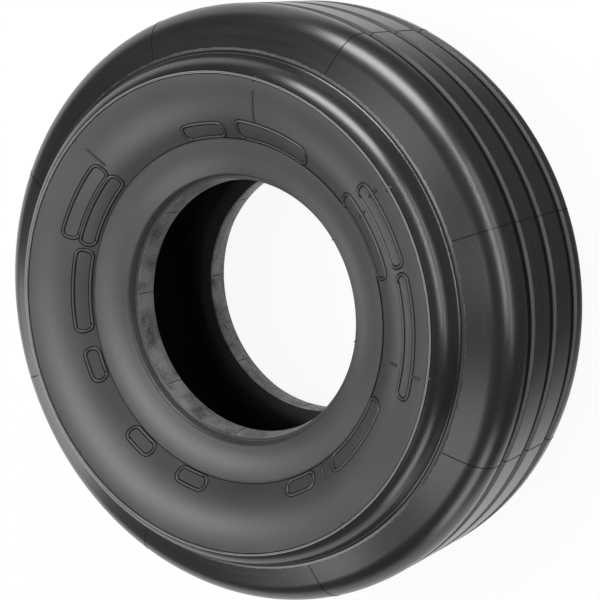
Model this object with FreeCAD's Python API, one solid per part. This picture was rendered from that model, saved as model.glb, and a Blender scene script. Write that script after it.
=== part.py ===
import FreeCAD, Part
import math
import os

# Aircraft tire, one moulded piece, off its wheel. Millimetres.
# The tire's axis is Z. The origin lies on the axis, midway between the two sidewalls.
# The section is drawn in the XZ half-plane, x being the radius, and revolved about Z.
# Its round stretches are drawn as a few chords, each within chord_sag of the arc.

# Overall sizes
outer_diameter = 358.0      # over the tread ribs
section_width = 151.2       # over the outer rings, the widest place
bead_bore = 152.4           # the wheel's bead seat, at the toe
chord_sag = 1.0

# Tread
groove_depth = 7.1          # below the ribs
groove_width = 10.0         # between the walls, at the ribs' faces
groove_pitch = 28.35        # from one groove's middle to the next
groove_count = 3
groove_draft = 9.0          # degrees, how far each wall leans back
under_tread = 11.9          # rubber and belts below a groove's floor

# Shoulder, from the tread's edge in to the ledge
shoulder_slope = 19.5       # degrees from the plane of the wheel
shoulder_radius = 20.0
ledge_diameter = 305.8
ledge_spacing = 117.4       # from one ledge to the other, along the axis

# Buttress, the step from the ledge up to the outer ring
buttress_foot_radius = 6.5
buttress_foot_inset = 1.8   # from the ledge in to the foot's corner
buttress_lean = 74.0        # degrees from the plane of the wheel
buttress_brow_radius = 9.0
buttress_brow_slope = 26.0

# Rings, the small moulded steps that bound the band between them
outer_ring_diameter = 282.6
inner_ring_diameter = 203.8
inner_ring_spacing = 116.8  # from edge to edge, along the axis
ring_width = 0.65
ring_height = 0.55

# Band between the rings
band_bow = 2.5              # how far it stands out from a straight line
band_bow_place = 0.46       # the share of that line at which it does

# Flange face between the inner ring and the bead, gently bowed
flange_bend_width = 9.3     # from the inner ring's foot in to the bend
flange_bend_drop = 1.0      # the bend's depth below that foot
flange_bend_radius = 50.0
flange_edge_rise = 5.2      # the rounded inner edge's height over the heel
flange_edge_step = 1.4      # radially, from the channel out to that edge
flange_edge_radius = 3.0

# Bead sole, from the toe out to the heel
toe_spacing = 62.4          # from toe to toe, along the axis
toe_land = 6.0              # straight stretch beside the toe
heel_length = 8.8           # tapered stretch out to the heel
heel_taper = 9.0
heel_step = 1.3             # the channel beside the heel, its depth

# Inner liner, round the air chamber
liner_bead_run = 6.6        # radially, from the toe to the first bend
liner_bead_rise = 1.0
liner_side_spacing = 117.0  # between the chamber's flat sides
liner_side_inner = 226.0    # the flat sides' diameters
liner_side_outer = 284.0
liner_crown_width = 56.0


def slope(angle):
    """Rise over run of a line at that many degrees."""
    return math.tan(math.radians(angle))


def corner(radius, height, rounding=0.0):
    """A corner of the section and the radius that rounds it."""
    return (radius, height, rounding)


def meet(first, first_angle, second, second_angle):
    """Where a line through each point, at its angle from the plane of the wheel, meets the other."""
    first_slope = slope(first_angle)
    second_slope = slope(second_angle)
    rise = second[1] - first[1]
    run = second[0] - first[0]
    step = (rise - second_slope * run) / (first_slope - second_slope)
    return (first[0] + step, first[1] + step * first_slope)


def bead_corners():
    """The sole from the toe out to the heel, and the channel beside it."""
    bore = bead_bore / 2
    toe = toe_spacing / 2
    land_end = toe + toe_land
    heel = land_end + heel_length
    heel_radius = bore + heel_length * slope(heel_taper)
    return [
        corner(bore, toe),
        corner(bore, land_end),
        corner(heel_radius, heel),
        corner(heel_radius + heel_step, heel),
    ]


def flange_corners():
    """The rounded edge over the bead's channel, and the bend in the flange face."""
    bead_edge = bead_corners()[-1]
    foot = ring_corners(inner_ring_diameter, inner_ring_spacing / 2)[0]
    edge = (bead_edge[0] + flange_edge_step, bead_edge[1] + flange_edge_rise)
    bend = (foot[0] - flange_bend_width, foot[1] - flange_bend_drop)
    return [
        corner(edge[0], edge[1], flange_edge_radius),
        corner(bend[0], bend[1], flange_bend_radius),
    ]


def ring_corners(diameter, height):
    """A small step up, going outwards, with its edge at that diameter and height."""
    edge = diameter / 2
    return [
        corner(edge - ring_width, height - ring_height),
        corner(edge, height),
    ]


def sidewall_corners():
    """The inner ring, the gently bowed band and the outer ring."""
    inner = ring_corners(inner_ring_diameter, inner_ring_spacing / 2)
    outer = ring_corners(outer_ring_diameter, section_width / 2)
    run = outer[0][0] - inner[1][0]
    rise = outer[0][1] - inner[1][1]
    bow = band_bow / math.hypot(run, rise)
    middle_radius = inner[1][0] + run * band_bow_place - rise * bow
    middle_height = inner[1][1] + rise * band_bow_place + run * bow
    return inner + [corner(middle_radius, middle_height)] + outer


def buttress_corners():
    """The step down from the outer ring to its foot beside the ledge."""
    ledge = (ledge_diameter / 2, ledge_spacing / 2)
    ring_edge = sidewall_corners()[-1]
    foot = (ledge[0] - buttress_foot_inset, ledge[1] + buttress_foot_inset * slope(shoulder_slope))
    brow = meet(ring_edge, -buttress_brow_slope, foot, -buttress_lean)
    return [
        corner(brow[0], brow[1], buttress_brow_radius),
        corner(foot[0], foot[1], buttress_foot_radius),
    ]


def shoulder_corners():
    """The ledge, and the long slope out to the tread's rounded edge."""
    ledge = (ledge_diameter / 2, ledge_spacing / 2)
    crown = outer_diameter / 2
    edge_height = ledge[1] - (crown - ledge[0]) * slope(shoulder_slope)
    return [corner(crown, edge_height, shoulder_radius)]


def groove_corners(middle):
    """One tread groove, from its upper side down to its lower side."""
    crown = outer_diameter / 2
    floor = crown - groove_depth
    half_top = groove_width / 2
    half_floor = half_top - groove_depth * slope(groove_draft)
    return [
        corner(crown, middle + half_top),
        corner(floor, middle + half_floor),
        corner(floor, middle - half_floor),
        corner(crown, middle - half_top),
    ]


def tread_corners():
    """The grooves between the ribs, from the upper sidewall's side to the lower one's."""
    corners = []
    for place in range(groove_count):
        middle = ((groove_count - 1) / 2 - place) * groove_pitch
        corners += groove_corners(middle)
    return corners


def liner_corners():
    """The inside of the air chamber, from the crown to the upper toe."""
    crown = outer_diameter / 2 - groove_depth - under_tread
    side = liner_side_spacing / 2
    return [
        corner(crown, liner_crown_width / 2),
        corner(liner_side_outer / 2, side),
        corner(liner_side_inner / 2, side),
        corner(bead_bore / 2 + liner_bead_run, toe_spacing / 2 + liner_bead_rise),
    ]


def mirrored(corners):
    """The same corners on the other side of the middle plane, in the opposite order."""
    return [corner(radius, -height, rounding) for radius, height, rounding in reversed(corners)]


def rounded(place, before, after, rounding):
    """Points along the arc that rounds a corner, or the corner itself where it is sharp."""
    if rounding == 0:
        return [place]
    to_last = (before - place).normalize()
    to_next = (after - place).normalize()
    half_angle = to_last.getAngle(to_next) / 2
    cut = rounding / math.tan(half_angle)
    bisector = (to_last + to_next).normalize()
    middle = place + bisector * (rounding / math.sin(half_angle) - rounding)
    arc = Part.Arc(place + to_last * cut, middle, place + to_next * cut)
    largest_turn = 2 * math.acos(1 - min(chord_sag / rounding, 1))
    chords = math.ceil((math.pi - 2 * half_angle) / largest_turn)
    return arc.discretize(Number=chords + 1)


def outline(corners):
    """A closed wire through the corners, with each one rounded."""
    places = [FreeCAD.Vector(radius, 0, height) for radius, height, rounding in corners]
    points = []
    for index, place in enumerate(places):
        following = places[(index + 1) % len(places)]
        points += rounded(place, places[index - 1], following, corners[index][2])
    return Part.makePolygon(points + points[:1])


def section_corners():
    """The whole section, round the outside from the upper toe to the lower one and back inside."""
    upper = bead_corners() + flange_corners() + sidewall_corners()
    upper += buttress_corners() + shoulder_corners()
    liner = liner_corners()
    return upper + tread_corners() + mirrored(upper) + mirrored(liner) + liner


def tire():
    """The section turned once round the axis."""
    face = Part.Face(outline(section_corners()))
    return face.revolve(FreeCAD.Vector(0, 0, 0), FreeCAD.Vector(0, 0, 1), 360)


os.makedirs("parts", exist_ok=True)
tire().exportStep("parts/tire.step")
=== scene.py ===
import math
import random

import bpy
from mathutils import Matrix, Vector


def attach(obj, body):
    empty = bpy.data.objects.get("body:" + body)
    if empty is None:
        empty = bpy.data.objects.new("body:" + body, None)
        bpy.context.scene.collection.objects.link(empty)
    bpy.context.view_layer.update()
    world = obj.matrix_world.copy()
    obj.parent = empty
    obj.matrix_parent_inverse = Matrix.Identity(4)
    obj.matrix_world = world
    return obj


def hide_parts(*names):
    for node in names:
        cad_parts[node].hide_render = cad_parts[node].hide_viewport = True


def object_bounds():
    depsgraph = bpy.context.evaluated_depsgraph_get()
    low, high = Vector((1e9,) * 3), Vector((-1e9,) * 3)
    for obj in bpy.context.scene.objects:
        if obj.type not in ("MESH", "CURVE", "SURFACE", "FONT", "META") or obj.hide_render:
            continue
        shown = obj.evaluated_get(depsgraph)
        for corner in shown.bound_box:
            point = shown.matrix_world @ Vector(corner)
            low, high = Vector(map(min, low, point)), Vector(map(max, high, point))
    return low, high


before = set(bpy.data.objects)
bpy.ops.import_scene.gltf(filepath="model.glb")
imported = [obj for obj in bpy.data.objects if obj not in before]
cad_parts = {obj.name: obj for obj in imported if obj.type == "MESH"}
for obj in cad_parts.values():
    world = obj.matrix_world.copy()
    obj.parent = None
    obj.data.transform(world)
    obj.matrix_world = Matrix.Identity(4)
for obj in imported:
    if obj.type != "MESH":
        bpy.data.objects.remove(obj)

# Aircraft tire, off its wheel, lying on one sidewall. Its axis is Z, through the origin.
# Sizes are written in millimetres and turned into metres where a mesh is made, and lamps and
# patterns are in metres. Clock angles go round the axis in degrees, from the point at the top
# of the picture towards its left.

cad_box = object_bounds()
scene = bpy.context.scene
scene.view_settings.view_transform = "Standard"
MM = 0.001


# Camera

camera_place = Vector((140.8, -608.6, 918.3))
camera_aim = Vector((-1.42, -10.84, 0.0))
camera_up = Vector((0.98822, 0.0, -0.15302))
camera_lens = 108.9
sensor_width = 36.0


def place_camera():
    """A long lens that looks down on the tire, turned so that the tread is on the right."""
    data = bpy.data.cameras.new("camera")
    data.lens = camera_lens
    data.sensor_width = sensor_width
    data.clip_end = 20.0
    camera = bpy.data.objects.new("camera", data)
    back = (camera_place - camera_aim).normalized()
    right = camera_up.cross(back).normalized()
    turn = Matrix((right, back.cross(right), back)).transposed()
    camera.matrix_world = Matrix.Translation(camera_place * MM) @ turn.to_4x4()
    scene.collection.objects.link(camera)
    scene.camera = camera


place_camera()


# Sizes of the section, places as radius and height

tread_radius = 178.9
tread_edge_rounding = 20.0
shoulder_slope = 19.5
groove_depth = 7.1
groove_width = 7.8
groove_pitch = 28.35
groove_middles = (groove_pitch, 0.0, -groove_pitch)
groove_draft = 9.0
groove_floor_rounding = 1.7
groove_flare = 0.7
groove_flare_depth = 2.0
groove_lip_rounding = 0.4
groove_wall_rounding = 1.5

ledge = (152.9, 58.7)
ledge_width = 1.15
foot_inset = 1.8
foot_rounding = 3.0
buttress_lean = 74.0
brow_slope = 26.0
brow_rounding = 15.0

outer_ring = (141.3, 75.6)
inner_ring = (101.9, 58.4)
ring_height = 0.55
ring_foot = 0.65
band_outer_slope = 5.0
band_inner_slope = 40.0
band_rounding = 60.0

flange_bend = (91.9, 56.9)
flange_bend_rounding = 50.0
flange_edge = (80.3, 51.2)
flange_edge_rounding = 3.0

toe = (76.2, 31.2)
sole_crease = (76.2, 37.1)
heel = (77.6, 46.0)
heel_step = 1.3

# Corners of the liner, from the crown to the upper toe, as radius, height and rounding
liner_corners = [
    (160.0, 38.0, 26.0),
    (129.0, 66.0, 15.0),
    (87.5, 33.0, 12.0),
]

# Inner and outer radius of each band painted near-black as the shade in the crease beside a ring
# or the ledge
painted_shade_bands = (
    (102.15, 102.75),
    (139.75, 140.4),
    (140.85, 141.2),
    (141.75, 142.15),
    (151.6, 152.2),
)

# How far the painted highlight on the outer ring's ridges reaches to each side, and the sole past
# the heel
ridge_highlight_reach = 0.8
heel_reach = (0.25, 0.1)

# Where a groove's lip is painted paler as a highlight: its depth below the ribs, its least width
# and how far it faces up
lip_depth = 1.5
lip_width = 0.6
lip_facing = 0.5

small_rounding = 0.3
turn_step = 9.0
steps_round = 360


def slope(angle):
    """Rise over run of a line at that many degrees."""
    return math.tan(math.radians(angle))


def meet(first, first_angle, second, second_angle):
    """Where the line through each point, at its angle, crosses the other."""
    first_slope = slope(first_angle)
    second_slope = slope(second_angle)
    run = second[0] - first[0]
    step = (second[1] - first[1] - second_slope * run) / (first_slope - second_slope)
    return (first[0] + step, first[1] + step * first_slope)


def corner(place, rounding=small_rounding, across=0.0, up=0.0):
    """A corner of the section, moved from a place, and the radius that rounds it."""
    return (place[0] + across, place[1] + up, rounding)


def bead_corners():
    """The toe, the two facets of the sole and the narrow channel at the heel."""
    channel = (heel[0] + heel_step, heel[1])
    return [
        corner(toe, 0.9),
        corner(sole_crease),
        corner(heel),
        corner(heel, 0.2, 0.5, -0.45),
        corner(channel, 0.25, -0.25, 0.35),
        corner(channel, 0.4, 0.35, 0.25),
    ]


def flange_corners():
    """The rounded edge over the bead and the gently bowed flange out to the inner ring."""
    return [
        corner(flange_edge, flange_edge_rounding),
        corner(flange_bend, flange_bend_rounding),
    ]


def ring_corners(place):
    """A fine ridge with its top at a place."""
    return [
        corner(place, small_rounding, -ring_foot, -ring_height),
        corner(place),
        corner(place, small_rounding, ring_foot, -ring_height),
    ]


def outer_ring_corners():
    """Two fine ridges with a line between them."""
    return [
        corner(outer_ring, small_rounding, -1.35, -ring_height),
        corner(outer_ring, 0.2, -0.8, -0.1),
        corner(outer_ring, 0.15, -0.3, -0.5),
        corner(outer_ring, 0.2, 0.15),
        corner(outer_ring, small_rounding, 0.8, -ring_height),
    ]


def shoulder_corners():
    """The brow and foot of the buttress, the ledge and the tread's rounded edge."""
    rise = foot_inset * slope(shoulder_slope)
    foot = (ledge[0] - foot_inset, ledge[1] + rise)
    brow = meet(outer_ring_corners()[-1], -brow_slope, foot, -buttress_lean)
    edge = ledge[1] - (tread_radius - ledge[0]) * slope(shoulder_slope)
    return [
        corner(brow, brow_rounding),
        corner(foot, foot_rounding),
        corner(ledge, 0.2, ledge_width),
        corner((tread_radius, edge), tread_edge_rounding),
    ]


def sidewall_corners():
    """The inner ring, the bowed band and the outer ring."""
    inner = ring_corners(inner_ring)
    outer = outer_ring_corners()
    bend = meet(inner[-1], band_inner_slope, outer[0], band_outer_slope)
    return inner + [corner(bend, band_rounding)] + outer


def groove_corners(middle):
    """One groove, from its upper edge down to its lower edge."""
    wall = tread_radius - groove_flare_depth
    floor = tread_radius - groove_depth
    half = groove_width / 2
    half_floor = half - groove_depth * slope(groove_draft)
    upper = [
        corner((tread_radius, middle + half + groove_flare), groove_lip_rounding),
        corner((wall, middle + half), groove_wall_rounding),
        corner((floor, middle + half_floor), groove_floor_rounding),
    ]
    return upper + mirrored(upper, middle)


def mirrored(corners, middle=0.0):
    """The same corners on the other side of a height, in the opposite order."""
    turned = reversed(corners)
    return [(radius, 2 * middle - height, rounding) for radius, height, rounding in turned]


def rounded(before, place, after, rounding):
    """Points of the arc that rounds a corner, each with the direction that the surface faces."""
    last = Vector(before[:2]) - Vector(place[:2])
    following = Vector(after[:2]) - Vector(place[:2])
    last.normalize()
    following.normalize()
    half = last.angle(following) / 2
    turn = math.pi - 2 * half
    centre = Vector(place[:2]) + (last + following).normalized() * rounding / math.sin(half)
    start = Vector(place[:2]) + last * rounding / math.tan(half)
    spoke = start - centre
    convex = last.x * following.y - last.y * following.x > 0
    steps = max(2, math.ceil(math.degrees(turn) / turn_step))
    points = []
    for step in range(steps + 1):
        angle = turn * step / steps * (-1 if convex else 1)
        arm = Matrix.Rotation(angle, 2) @ spoke
        facing = (arm if convex else -arm).normalized()
        points.append((centre + arm, facing))
    return points


def section_points():
    """The closed section: outside from the upper toe to the lower one, then the liner back."""
    upper = bead_corners() + flange_corners() + sidewall_corners() + shoulder_corners()
    tread = [entry for middle in groove_middles for entry in groove_corners(middle)]
    outside = upper + tread + mirrored(upper)
    corners = outside + mirrored(liner_corners) + liner_corners
    points = []
    for index, place in enumerate(corners):
        following = corners[(index + 1) % len(corners)]
        inside = index >= len(outside)
        for point, facing in rounded(corners[index - 1], place, following, place[2]):
            points.append((point, facing, inside))
    return points


section = section_points()


def gets_lip_highlight(first, second):
    """Whether a stretch of the section is the flared edge of a groove's lower wall, painted paler
    there as a highlight.
    """
    middle = (first[0] + second[0]) / 2
    near_top = middle.x > tread_radius - lip_depth
    among_grooves = abs(middle.y) < groove_pitch + groove_width
    wide_enough = second[0].x - first[0].x > lip_width
    return near_top and among_grooves and wide_enough and first[1].y > lip_facing


def finish_between(first, second):
    """Which finish a stretch of the section between two of its points shows: rubber, or painted
    shade or highlight.
    """
    if first[2] or second[2]:
        return "liner"
    middle = (first[0] + second[0]) / 2
    # Painted shade: near-black in the crease beside each ring and the ledge
    if any(low < middle.x < high for low, high in painted_shade_bands) and abs(middle.y) > toe[1]:
        return "crease"
    # Painted highlight: the outer ring's ridges get a much paler rubber
    if abs(middle.x - outer_ring[0]) < ridge_highlight_reach:
        return "ridge"
    if gets_lip_highlight(first, second):
        return "lip"
    if middle.x > outer_ring[0]:
        return "tread"
    # Near and far soles are one rubber; the far one is painted lighter for the light it gets
    # through the hole
    if middle.x < heel[0] + heel_reach[0] and abs(middle.y) < heel[1] + heel_reach[1]:
        return "bead" if middle.y > 0 else "far_bead"
    return "sidewall"


def at_angle(point, angle):
    """A point of the section, or a direction in it, turned to a clock angle."""
    turn = math.radians(angle)
    return Vector((point[0] * math.cos(turn), point[0] * math.sin(turn), point[1]))


def add_piece(name, points, faces, materials, face_slots=None, normals=None):
    """A mesh piece of the tire in its place, smooth shaded."""
    mesh = bpy.data.meshes.new(name)
    mesh.from_pydata([point * MM for point in points], [], faces)
    for material in materials:
        mesh.materials.append(material)
    mesh.polygons.foreach_set("use_smooth", [True] * len(faces))
    if face_slots:
        mesh.polygons.foreach_set("material_index", face_slots)
    mesh.update()
    if normals:
        mesh.normals_split_custom_set_from_vertices(normals)
    piece = bpy.data.objects.new(name, mesh)
    scene.collection.objects.link(piece)
    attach(piece, "root")
    return piece


def turn_section(rubbers):
    """The moulded tire itself, the section turned once round the axis, in rubbers by name."""
    count = len(section)
    points = []
    normals = []
    for step in range(steps_round):
        angle = 360.0 * step / steps_round
        points += [at_angle(point, angle) for point, facing, inside in section]
        normals += [at_angle(facing, angle) for point, facing, inside in section]
    names = list(rubbers)
    slots = []
    for index in range(count):
        finish = finish_between(section[index], section[(index + 1) % count])
        slots.append(names.index(finish))
    faces = []
    for step in range(steps_round):
        here = step * count
        there = (step + 1) % steps_round * count
        for index in range(count):
            following = (index + 1) % count
            faces.append((here + index, here + following, there + following, there + index))
    materials = list(rubbers.values())
    return add_piece("tire_body", points, faces, materials, slots * steps_round, normals)


# Shader trees


class Wire:
    """An output in a shader tree. Arithmetic on wires adds Math nodes."""

    def __init__(self, tree, socket):
        self.tree = tree
        self.socket = socket

    def math(self, operation, first, second):
        """A Math node on two wires or numbers."""
        return self.tree.node("ShaderNodeMath", {"operation": operation}, {0: first, 1: second})

    def __add__(self, other):
        return self.math("ADD", self, other)

    def __sub__(self, other):
        return self.math("SUBTRACT", self, other)

    def __rsub__(self, other):
        return self.math("SUBTRACT", other, self)

    def __mul__(self, other):
        return self.math("MULTIPLY", self, other)

    def __truediv__(self, other):
        return self.math("DIVIDE", self, other)

    def __rtruediv__(self, other):
        return self.math("DIVIDE", other, self)

    __radd__ = __add__
    __rmul__ = __mul__


class Tree:
    """The node tree of one material or of the world."""

    def __init__(self, owner):
        owner.use_nodes = True
        self.nodes = owner.node_tree.nodes
        self.links = owner.node_tree.links
        self.nodes.clear()

    def node(self, kind, settings=None, values=None, output=0):
        """Adds a node, sets it up, feeds its sockets and returns one of its outputs."""
        made = self.nodes.new(kind)
        for name, setting in (settings or {}).items():
            if name == "stops":
                self.set_stops(made.color_ramp, setting)
            else:
                setattr(made, name, setting)
        for name, value in (values or {}).items():
            if isinstance(value, Wire):
                self.links.new(value.socket, made.inputs[name])
            else:
                made.inputs[name].default_value = value
        return Wire(self, made.outputs[output]) if made.outputs else made

    def set_stops(self, ramp, stops):
        """Gives a colour ramp its stops, each a place and a grey."""
        while len(ramp.elements) < len(stops):
            ramp.elements.new(0.5)
        for element, (place, shade) in zip(ramp.elements, stops):
            element.position = place
            element.color = (shade, shade, shade, 1.0)

    def ramp(self, wire, *stops):
        """A value read off a row of stops."""
        return self.node("ShaderNodeValToRGB", {"stops": stops}, {"Fac": wire})

    def blend(self, factor, first, second):
        """A colour between two, by a factor."""
        settings = {"data_type": "RGBA", "clamp_factor": True}
        return self.node("ShaderNodeMix", settings, {0: factor, 6: first, 7: second}, 2)

    def place(self):
        """The point on the surface, in the piece's own coordinates."""
        return self.node("ShaderNodeTexCoord", output="Object")

    def part(self, vector, axis):
        """One of a vector's three numbers, X, Y or Z."""
        return self.node("ShaderNodeSeparateXYZ", values={0: vector}, output=axis)

    def noise(self, vector, scale, detail=3.0, roughness=0.5):
        """Soft random cloud between 0 and 1."""
        values = {"Vector": vector, "Scale": scale, "Detail": detail, "Roughness": roughness}
        return self.node("ShaderNodeTexNoise", values=values)

    def brushing(self, along=2.2, across=900.0):
        """Fine streaks that run round the tire."""
        place = self.place()
        x, y, z = (self.part(place, axis) for axis in "XYZ")
        radius = self.node("ShaderNodeMath", {"operation": "SQRT"}, {0: x * x + y * y})
        values = {0: x / radius * along, 1: y / radius * along, 2: (z + radius * 0.6) * across}
        vector = self.node("ShaderNodeCombineXYZ", values=values)
        return self.noise(vector, 1.0, 2.0, 0.6)

    def specks(self, scale, size):
        """Small scattered dots, 1 in each dot and 0 elsewhere."""
        values = {"Vector": self.place(), "Scale": scale}
        distance = self.node("ShaderNodeTexVoronoi", values=values)
        return self.ramp(distance, (size * 0.6, 1.0), (size, 0.0))

    def bump(self, height, distance):
        """Surface relief of that many metres."""
        return self.node("ShaderNodeBump", values={"Height": height, "Distance": distance})

    def finish(self, shader, output="ShaderNodeOutputMaterial"):
        """Ends the tree with its surface."""
        self.node(output, values={"Surface": shader})


def grey(shade, warmth=0.0):
    """A grey, a little redder where the warmth is positive and bluer where it is negative."""
    return (shade * (1 + warmth), shade, shade * (1 - warmth), 1.0)


def new_tree(name):
    """A new material and its empty node tree."""
    material = bpy.data.materials.new(name)
    return material, Tree(material)


def sidewall_rubber(name, dark, light):
    """Satin moulded rubber, faintly mottled, with a fine grain and a little dust."""
    material, tree = new_tree(name)
    place = tree.place()
    patches = tree.noise(place, 22.0, 4.0)
    grain = tree.noise(place, 1500.0, 2.0)
    dust = tree.specks(130.0, 0.035)
    tone = tree.ramp(patches * 0.8 + grain * 0.2, (0.3, 0.0), (0.7, 1.0))
    rubber = tree.blend(tone, grey(dark, -0.015), grey(light, -0.02))
    colour = tree.blend(dust * 0.3, rubber, grey(0.2))
    shine = tree.ramp(patches * 0.5 + grain * 0.5, (0.25, 0.38), (0.75, 0.46))
    relief = grain * 0.35 + tree.noise(place, 260.0, 3.0) * 0.65
    shader = tree.node("ShaderNodeBsdfPrincipled", values={
        "Base Color": colour,
        "Roughness": shine,
        "Specular IOR Level": 0.6,
        "Normal": tree.bump(relief, 0.000012),
    })
    tree.finish(shader)
    return material


def tread_rubber():
    """Darker, slightly warm rubber with fine streaks that run round the tread."""
    material, tree = new_tree("tread_rubber")
    streaks = tree.brushing()
    place = tree.place()
    grain = tree.noise(place, 900.0, 3.0, 0.6)
    dust = tree.specks(110.0, 0.03)
    tone = tree.ramp(streaks * 0.6 + grain * 0.4, (0.32, 0.0), (0.68, 1.0))
    rubber = tree.blend(tone, grey(0.009, 0.06), grey(0.013, 0.05))
    colour = tree.blend(dust * 0.4, rubber, grey(0.16))
    shine = tree.ramp(streaks, (0.3, 0.26), (0.7, 0.3))
    shader = tree.node("ShaderNodeBsdfPrincipled", values={
        "Base Color": colour,
        "Roughness": shine,
        "Specular IOR Level": 0.65,
        "Normal": tree.bump(streaks * 0.6 + grain * 0.4, 0.000002),
    })
    tree.finish(shader)
    return material


def bead_rubber(name, dark, light):
    """The sole's grey rubber, blotched and marked by the cloth under it."""
    material, tree = new_tree(name)
    place = tree.place()
    blotches = tree.noise(place, 60.0, 5.0, 0.65)
    cloth = tree.noise(place, 700.0, 2.0, 0.7)
    tone = tree.ramp(blotches * 0.75 + cloth * 0.25, (0.4, 0.0), (0.6, 1.0))
    colour = tree.blend(tone, grey(dark, 0.03), grey(light, 0.01))
    shine = tree.ramp(blotches, (0.3, 0.45), (0.7, 0.62))
    shader = tree.node("ShaderNodeBsdfPrincipled", values={
        "Base Color": colour,
        "Roughness": shine,
        "Specular IOR Level": 0.35,
        "Normal": tree.bump(cloth * 0.7 + blotches * 0.3, 0.00015),
    })
    tree.finish(shader)
    return material


def painted_shade_rubber():
    """Painted shade: near-black rubber for a narrow crease and the feet of raised lines, where
    shade falls; the seams are drawn in it too.
    """
    material, tree = new_tree("painted_shade_rubber")
    dust = tree.noise(tree.place(), 400.0, 3.0)
    shader = tree.node("ShaderNodeBsdfPrincipled", values={
        "Base Color": tree.blend(dust, grey(0.002), grey(0.008)),
        "Roughness": tree.ramp(dust, (0.3, 0.6), (0.7, 0.8)),
        "Specular IOR Level": 0.1,
    })
    tree.finish(shader)
    return material


def flash_rubber():
    """The thin flash along the ledge, pale grey broken by near-black gaps."""
    material, tree = new_tree("flash_rubber")
    gaps = tree.noise(tree.place(), 420.0, 2.0, 0.7)
    tone = tree.ramp(gaps, (0.44, 0.0), (0.56, 1.0))
    shader = tree.node("ShaderNodeBsdfPrincipled", values={
        "Base Color": tree.blend(tone, grey(0.008), grey(0.1)),
        "Roughness": tree.ramp(gaps, (0.3, 0.4), (0.7, 0.55)),
        "Specular IOR Level": 0.4,
    })
    tree.finish(shader)
    return material


def liner_rubber():
    """The near-black, airtight lining."""
    material, tree = new_tree("liner_rubber")
    place = tree.place()
    patches = tree.noise(place, 30.0, 4.0)
    colour = tree.blend(patches, grey(0.03, -0.03), grey(0.05, -0.03))
    shader = tree.node("ShaderNodeBsdfPrincipled", values={
        "Base Color": colour,
        "Roughness": tree.ramp(patches, (0.3, 0.5), (0.7, 0.62)),
        "Specular IOR Level": 0.3,
        "Normal": tree.bump(tree.noise(place, 500.0), 0.0001),
    })
    tree.finish(shader)
    return material


# Raised details on the upper sidewall

sidewall_bottom = 40.0


def surface_at(radius):
    """The section's point and facing on the upper sidewall at a radius."""
    best = None
    for first, second in zip(section, section[1:]):
        if second[2] or first[0].y < sidewall_bottom:
            continue
        run = second[0].x - first[0].x
        if run > 0 and first[0].x <= radius <= second[0].x:
            share = (radius - first[0].x) / run
            facing = first[1].lerp(second[1], share).normalized()
            best = (first[0].lerp(second[0], share), facing)
    return best


def on_sidewall(radius, angle):
    """The place and facing on the upper sidewall at a radius and a clock angle."""
    point, facing = surface_at(radius)
    return at_angle(point, angle), at_angle(facing, angle)


# A raised line's cross-section: shares of its half width across and of its height up
line_profile = (
    (-1.0, 0.16),
    (-0.5, 0.22),
    (-0.32, 0.9),
    (0.0, 1.0),
    (0.32, 0.9),
    (0.5, 0.22),
    (1.0, 0.16),
)


def raised_line(path, width, height, closed=False):
    """Points and faces of a low rounded ridge along (place, facing) pairs."""
    points = []
    last = len(path) - 1
    for index, (place, facing) in enumerate(path):
        before = path[index - 1 if closed or index > 0 else 0][0]
        after = path[(index + 1) % len(path) if closed or index < last else last][0]
        side = facing.cross(after - before).normalized()
        for across, up in line_profile:
            points.append(place + side * across * width / 2 + facing * up * height)
    wide = len(line_profile)
    faces = []
    for index in range(len(path) if closed else last):
        here = index * wide
        there = (index + 1) % len(path) * wide
        faces += [(here + k, there + k, there + k + 1, here + k + 1) for k in range(wide - 1)]
    if not closed:
        faces.append(tuple(range(wide)))
        faces.append(tuple(last * wide + k for k in reversed(range(wide))))
    return points, faces


def gather(parts):
    """Several point and face lists as one."""
    points = []
    faces = []
    for part_points, part_faces in parts:
        faces += [tuple(index + len(points) for index in face) for face in part_faces]
        points += part_points
    return points, faces


frame_rounding = 3.6
frame_line_width = 2.6
frame_line_height = 0.7
frame_corner_steps = 6


def frame_path(low, high, first, last):
    """A long frame with rounded corners on the band, between two radii and two clock angles."""
    middle = (low + high) / 2
    tall = (high - low) / 2 - frame_rounding
    half = math.radians(last - first) / 2 * middle - frame_rounding
    flat = []
    steps = max(4, math.ceil(half))
    for side in (1, -1):
        edge = side * (tall + frame_rounding)
        flat += [(side * (-half + 2 * half * k / steps), edge) for k in range(steps)]
        for k in range(frame_corner_steps + 1):
            turn = math.pi / 2 * k / frame_corner_steps
            across = half + frame_rounding * math.sin(turn)
            flat.append((side * across, side * (tall + frame_rounding * math.cos(turn))))
        for k in range(frame_corner_steps + 1):
            turn = math.pi / 2 * k / frame_corner_steps
            across = half + frame_rounding * math.cos(turn)
            flat.append((side * across, -side * (tall + frame_rounding * math.sin(turn))))
    centre = (first + last) / 2
    return [on_sidewall(middle + v, centre + math.degrees(u / middle)) for u, v in flat]


# Each frame's inner and outer radius and its first and last clock angle
frames = (
    (103.3, 111.5, -4.8, 10.5),
    (103.4, 113.9, 324.3, 350.0),
    (103.4, 114.0, 280.7, 307.3),
    (120.8, 129.7, 282.7, 305.2),
    (122.3, 130.1, 249.2, 280.8),
    (103.4, 112.8, 216.4, 243.3),
    (103.6, 111.7, 197.0, 207.9),
    (103.6, 111.2, 154.2, 165.2),
    (103.8, 111.3, 132.0, 142.6),
    (103.9, 111.1, 101.9, 112.9),
    (104.2, 112.7, 68.9, 95.9),
    (104.4, 112.1, 40.8, 67.0),
    (113.2, 122.4, 41.2, 66.0),
)

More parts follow.
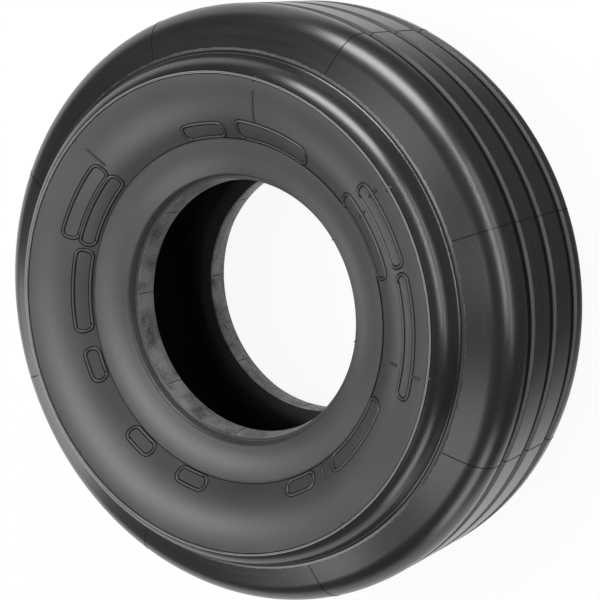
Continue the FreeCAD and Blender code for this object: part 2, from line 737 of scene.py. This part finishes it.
# Clock angles of the mould's vents, and where a vent's fine line shows between two radii
vent_angles = (40.4, 83.1, 127.2, 169.0, 212.6, 257.0, 300.0, 343.1)
vent_lines = (
    (343.0, 114.5, 134.0),
    (39.6, 117.5, 131.6),
    (299.6, 110.5, 118.0),
    (301.6, 126.6, 134.0),
    (256.6, 112.5, 118.5),
    (255.8, 130.5, 136.5),
    (211.8, 103.6, 110.0),
)
ring_ticks = tuple((angle, 139.0, 140.3) for angle in vent_angles)
vent_line_width = 1.5
vent_line_height = 0.5

# Radius, width and height of the stubs at each vent angle
vent_stubs = (
    (142.1, 1.5, 0.3),
    (101.9, 1.2, 0.4),
    (80.6, 0.9, 0.7),
)


def frames_mesh():
    """The raised outlines of the bare frames."""
    paths = [frame_path(*size) for size in frames]
    return gather([raised_line(path, frame_line_width, frame_line_height, True) for path in paths])


def vent_lines_mesh():
    """The fine lines across the band and the ticks inside the outer ring."""
    parts = []
    for angle, low, high in vent_lines + ring_ticks:
        steps = math.ceil(high - low)
        path = [on_sidewall(low + (high - low) * k / steps, angle) for k in range(steps + 1)]
        parts.append(raised_line(path, vent_line_width, vent_line_height))
    return gather(parts)


def stub(place, facing, width, height):
    """A small round-topped pip."""
    sides = 8
    side = facing.orthogonal().normalized()
    other = facing.cross(side)
    points = []
    rows = ((1.0, -0.3), (0.95, 0.3), (0.6, 0.85))
    for spread, up in rows:
        for k in range(sides):
            turn = math.tau * k / sides
            arm = side * math.cos(turn) + other * math.sin(turn)
            points.append(place + arm * spread * width / 2 + facing * up * height)
    points.append(place + facing * height)
    faces = []
    for row in range(len(rows) - 1):
        for k in range(sides):
            here = row * sides + k
            beside = row * sides + (k + 1) % sides
            faces.append((here, beside, beside + sides, here + sides))
    top = (len(rows) - 1) * sides
    faces += [(top + k, top + (k + 1) % sides, len(points) - 1) for k in range(sides)]
    return points, faces


def stubs_mesh():
    """The stubs left by the vents beside the outer ring, on the inner one and over the bead."""
    dice = random.Random(7)
    parts = []
    for angle in vent_angles:
        for radius, width, height in vent_stubs:
            place, facing = on_sidewall(radius, angle + dice.uniform(-0.6, 0.6))
            parts.append(stub(place, facing, width, height))
    return gather(parts)


# Seams between the mould's segments

segment_angles = [14.85 + 45.0 * k for k in range(8)]
seam_width = 0.55
seam_height = 0.22
sole_seam_width = 0.5
sole_seam_height = 0.2


def outside_path(angle, low_radius, top, bottom):
    """The outside of the section at a clock angle, between two heights, beyond a radius."""
    path = []
    for point, facing, inside in section:
        if not inside and point.x >= low_radius and bottom <= point.y <= top:
            path.append((at_angle(point, angle), at_angle(facing, angle)))
    return path


def seams_mesh():
    """Seams across the shoulders and the tread, from one ledge to the other."""
    parts = []
    for angle in segment_angles:
        path = outside_path(angle, ledge[0] + 0.8, ledge[1] + 0.3, -ledge[1] - 0.3)
        parts.append(raised_line(path, seam_width, seam_height))
    return gather(parts)


def sole_seams_mesh():
    """Seams across both bead soles."""
    parts = []
    for angle in vent_angles:
        for side in (1, -1):
            start = Vector((toe[0], side * (toe[1] + 0.9)))
            crease = Vector((sole_crease[0], side * sole_crease[1]))
            end = Vector((heel[0], side * (heel[1] - 0.4)))
            places = (start, start.lerp(crease, 0.5), crease, crease.lerp(end, 0.5), end)
            facing = at_angle((-1, 0), angle)
            path = [(at_angle(place, angle), facing) for place in places]
            parts.append(raised_line(path, sole_seam_width, sole_seam_height))
    return gather(parts)


flash_steps = 720
flash_width = 0.5
flash_height = 0.2
flash_wander = (-0.1, 0.08)


def ledge_flash_mesh():
    """The thin uneven flash that stands along both ledges."""
    dice = random.Random(11)
    parts = []
    for side in (1, -1):
        path = []
        for step in range(flash_steps):
            angle = 360.0 * step / flash_steps
            point = Vector((ledge[0] + ledge_width, side * (ledge[1] - 0.05)))
            facing = Vector((0.55, side * 0.83))
            point += facing * dice.uniform(*flash_wander)
            path.append((at_angle(point, angle), at_angle(facing, angle)))
        parts.append(raised_line(path, flash_width, flash_height, True))
    return gather(parts)


def add_lines(name, mesh, top, painted_foot_shade):
    """Raised lines with painted shade, a near-black strip, along both their feet."""
    points, faces = mesh
    wide = len(line_profile)
    slots = [1 if len(face) == 4 and min(face) % wide in (0, wide - 2) else 0 for face in faces]
    return add_piece(name, points, faces, [top, painted_foot_shade], slots)


def build_tire():
    """The moulded tire and everything that stands proud of it."""
    sidewall = sidewall_rubber("sidewall_rubber", 0.026, 0.036)
    # crease holds the near-black painted shade
    crease = painted_shade_rubber()
    body = turn_section({
        "sidewall": sidewall,
        "tread": tread_rubber(),
        "bead": bead_rubber("bead_rubber", 0.03, 0.17),
        "liner": liner_rubber(),
        "crease": crease,
        # Painted light: the far bead is the same rubber in lighter greys, for the light that falls
        # on it through the hole
        "far_bead": bead_rubber("far_bead_painted_light", 0.1, 0.45),
        # Painted highlight: a much paler copy of the sidewall rubber on the outer ring's ridges
        "ridge": sidewall_rubber("ridge_painted_highlight", 0.18, 0.26),
        # Painted highlight: a paler, bluish copy of the sidewall rubber on the upward-facing lips
        # of the grooves
        "lip": sidewall_rubber("groove_lip_painted_highlight", 0.06, 0.1),
    })
    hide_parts("tire")
    add_lines("sidewall_frames", frames_mesh(), sidewall, crease)
    add_lines("vent_lines", vent_lines_mesh(), sidewall, crease)
    add_piece("vent_nubs", *stubs_mesh(), [sidewall])
    # The seams are drawn wholly in the near-black of the painted shade.
    add_piece("segment_seams", *seams_mesh(), [crease])
    add_piece("sole_seams", *sole_seams_mesh(), [crease])
    add_piece("ledge_flash", *ledge_flash_mesh(), [flash_rubber()])


build_tire()


# Floor, world and lamps

# Name, clock angle, elevation, distance, width, height and power of each soft box
lamps = (
    ("over_left", 60.0, 80.0, 1.5, 0.4, 0.4, 5.4),
    ("over_right", 272.0, 66.0, 1.5, 0.4, 0.35, 0.8),
    ("above_top", 0.0, 70.0, 1.5, 0.6, 0.6, 2.8),
    ("above_bottom", 200.0, 55.0, 1.5, 0.6, 0.6, 2.9),
    ("above_left", 130.0, 72.0, 1.5, 0.5, 0.5, 0.8),
    ("high_left", 62.0, 60.0, 1.5, 0.4, 0.6, 7.2),
    ("side_left", 150.0, 44.0, 1.5, 0.6, 0.6, 5.8),
    ("left_low", 105.0, 18.0, 1.1, 0.5, 0.3, 1.8),
    ("right_strip", 290.0, 21.0, 1.1, 1.2, 0.04, 4.4),
    ("right_low", 280.0, 5.0, 1.1, 1.1, 0.1, 2.1),
    ("top_rim", 338.0, 18.0, 0.7, 0.45, 0.22, 3.6),
    ("left_rim", 112.0, 6.0, 0.5, 0.22, 0.14, 0.06),
    ("bottom_rim", 214.0, 7.0, 0.8, 0.4, 0.2, 0.9),
)

floor_height = cad_box[0].z


def seen_directly(tree):
    """1 where the camera sees the background, itself or through a surface, and 0 elsewhere."""
    camera = tree.node("ShaderNodeLightPath", output="Is Camera Ray")
    return camera + tree.node("ShaderNodeLightPath", output="Is Transmission Ray")


def seen_in_gloss(tree):
    """1 where a glossy surface mirrors the background, and 0 elsewhere."""
    return tree.node("ShaderNodeLightPath", output="Is Glossy Ray")


def lay_floor():
    """A plain pale floor that looks white, keeps a soft shadow and is mirrored darker in front."""
    material, tree = new_tree("floor_paint")
    in_gloss = seen_in_gloss(tree)
    place = tree.place()
    toward_camera = tree.part(place, "X") * 0.3 - tree.part(place, "Y") * 0.95
    pale = tree.ramp(toward_camera + 0.5, (0.61, 1.0), (0.68, 0.1))
    paint = tree.node("ShaderNodeBsdfDiffuse", values={"Color": grey(0.8)})
    white = tree.node("ShaderNodeEmission", values={
        "Color": tree.blend(in_gloss, grey(1.0), pale),
        "Strength": 1.0,
    })
    share = seen_directly(tree) * 0.93 + in_gloss
    shader = tree.node("ShaderNodeMixShader", values={0: share, 1: paint, 2: white})
    tree.finish(shader)
    reach = 6.0
    corners = [(-reach, -reach, 0), (reach, -reach, 0), (reach, reach, 0), (-reach, reach, 0)]
    mesh = bpy.data.meshes.new("floor")
    mesh.from_pydata(corners, [], [(0, 1, 2, 3)])
    mesh.materials.append(material)
    floor = bpy.data.objects.new("floor", mesh)
    floor.location.z = floor_height
    scene.collection.objects.link(floor)


def light_world(strength):
    """A dim, even light from all round, seen as white."""
    world = bpy.data.worlds.new("studio")
    scene.world = world
    tree = Tree(world)
    dim = tree.node("ShaderNodeBackground", values={"Color": grey(1.0), "Strength": strength})
    white = tree.node("ShaderNodeBackground", values={"Color": grey(1.0), "Strength": 1.0})
    shader = tree.node("ShaderNodeMixShader", values={0: seen_directly(tree), 1: dim, 2: white})
    tree.finish(shader, "ShaderNodeOutputWorld")


def hang_lamp(name, angle, elevation, distance, width, height, power):
    """A soft box at a clock angle and an elevation round the tire, facing its middle."""
    data = bpy.data.lights.new(name, "AREA")
    data.shape = "RECTANGLE"
    data.size = width
    data.size_y = height
    data.energy = power
    lamp = bpy.data.objects.new(name, data)
    rise = math.radians(elevation)
    flat = at_angle((math.cos(rise), math.sin(rise)), angle)
    lamp.location = flat * distance
    lamp.rotation_mode = "QUATERNION"
    lamp.rotation_quaternion = flat.to_track_quat("Z", "Y")
    lamp.visible_camera = False
    scene.collection.objects.link(lamp)


lay_floor()
light_world(0.1)
for lamp in lamps:
    hang_lamp(*lamp)
